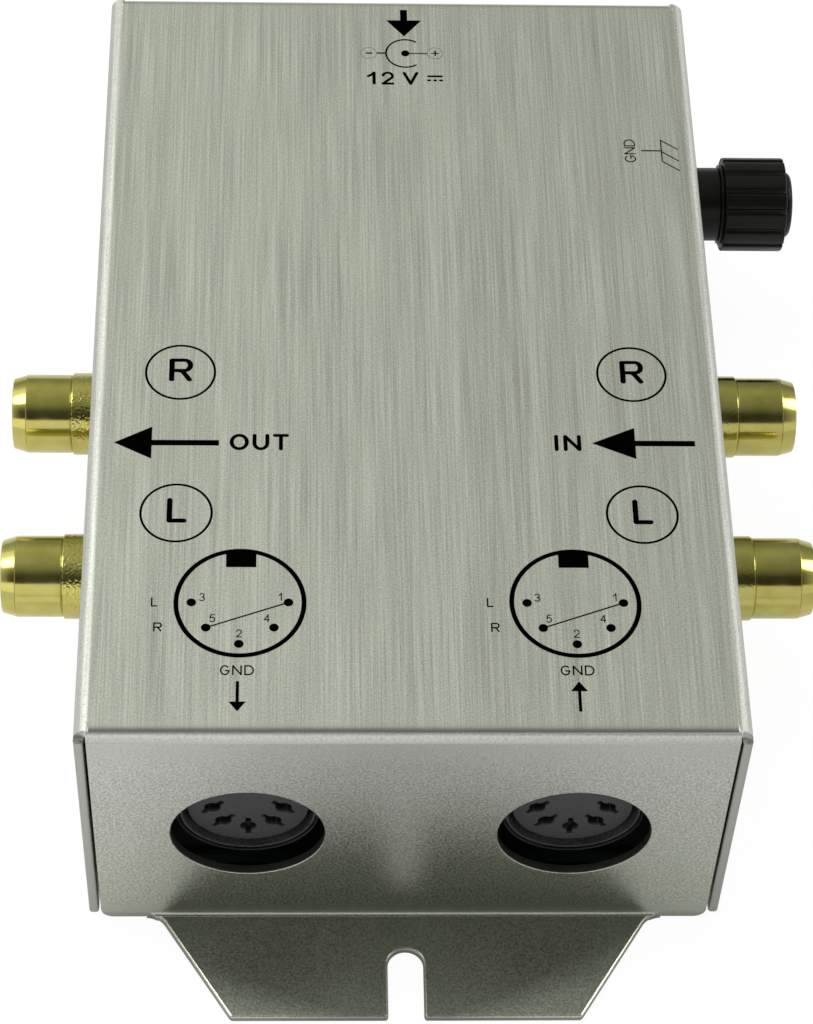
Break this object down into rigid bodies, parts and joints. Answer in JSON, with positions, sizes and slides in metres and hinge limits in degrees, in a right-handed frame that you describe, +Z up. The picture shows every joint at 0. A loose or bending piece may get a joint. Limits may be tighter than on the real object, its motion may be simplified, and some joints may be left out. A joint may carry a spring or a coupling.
{
  "type": "phono preamp",
  "caption": "Small folded-sheet phono preamp box with phono jacks on both sides, DIN sockets in front, a ground post, a low-voltage inlet and slotted mounting feet.",
  "frame": {"origin": "middle of the case's footprint, on the surface it stands on", "axes": "+Z up, -Y towards the DIN sockets, +X towards the input jacks and the ground post"},
  "size_m": [0.0864, 0.1218, 0.0343],
  "materials": {
    "sheet_metal": "brushed",
    "tray_sheet": "satin",
    "gold_plate": "polished",
    "black_plastic": "moulded",
    "insert_plastic": "matte",
    "white_plastic": "moulded",
    "red_plastic": "moulded",
    "nickel_steel": "plated",
    "dark_steel": "dull",
    "brass_part": "turned",
    "board_laminate": "solder mask",
    "wire_cover": "smooth",
    "chip_plastic": "moulded",
    "film_box": "moulded",
    "can_sleeve": "sleeve",
    "resistor_coat": "lacquer",
    "ceramic_coat": "dipped"
  },
  "bodies": {
    "case": {"cover": "sheet_metal", "base_tray": "tray_sheet", "clinch_nuts": "nickel_steel", "cover_screws": "nickel_steel", "board_standoffs": "brass_part", "circuit_board": "board_laminate", "board_screws": "nickel_steel", "out_l_body": "black_plastic", "out_l_shell": "gold_plate", "out_l_insulator": "white_plastic", "out_l_contact": "gold_plate", "out_r_body": "black_plastic", "out_r_shell": "gold_plate", "out_r_insulator": "red_plastic", "out_r_contact": "gold_plate", "in_l_body": "black_plastic", "in_l_shell": "gold_plate", "in_l_insulator": "white_plastic", "in_l_contact": "gold_plate", "in_r_body": "black_plastic", "in_r_shell": "gold_plate", "in_r_insulator": "red_plastic", "in_r_contact": "gold_plate", "din_out_body": "black_plastic", "din_out_shield": "dark_steel", "din_out_plate": "black_plastic", "din_out_insert": "insert_plastic", "din_out_contacts": "gold_plate", "din_in_body": "black_plastic", "din_in_shield": "dark_steel", "din_in_plate": "black_plastic", "din_in_insert": "insert_plastic", "din_in_contacts": "gold_plate", "inlet_body": "black_plastic", "inlet_pin": "nickel_steel", "inlet_spring": "nickel_steel", "post_bush": "black_plastic", "post_stud": "nickel_steel", "post_inner_washer": "black_plastic", "post_lug": "nickel_steel", "post_lock_washer": "nickel_steel", "post_hex_nut": "nickel_steel", "ground_wire": "wire_cover", "ground_pad": "nickel_steel", "op_amps": "chip_plastic", "film_capacitors": "film_box", "coupling_capacitors": "can_sleeve", "supply_capacitors": "can_sleeve", "resistors": "resistor_coat", "ceramic_capacitors": "ceramic_coat", "regulator": "chip_plastic", "protection_diode": "chip_plastic"},
    "clamp_washer": {"clamp_washer": "black_plastic"},
    "thumb_nut": {"thumb_nut": "black_plastic", "thumb_nut_insert": "brass_part"}
  },
  "joints": [
    {"name": "clamp_travel", "type": "slide", "parent": "case", "child": "clamp_washer", "axis": [1, 0, 0], "range_m": [0, 0.004]},
    {"name": "nut_turn", "type": "hinge", "parent": "clamp_washer", "child": "thumb_nut", "pos_m": [0.0371, 0.0344, 0.0166], "axis": [1, 0, 0], "range_deg": [0, 2058]}
  ],
  "couplings": [
    {"joint": "nut_turn", "follows": "clamp_travel", "rad_per_m": 8976}
  ]
}
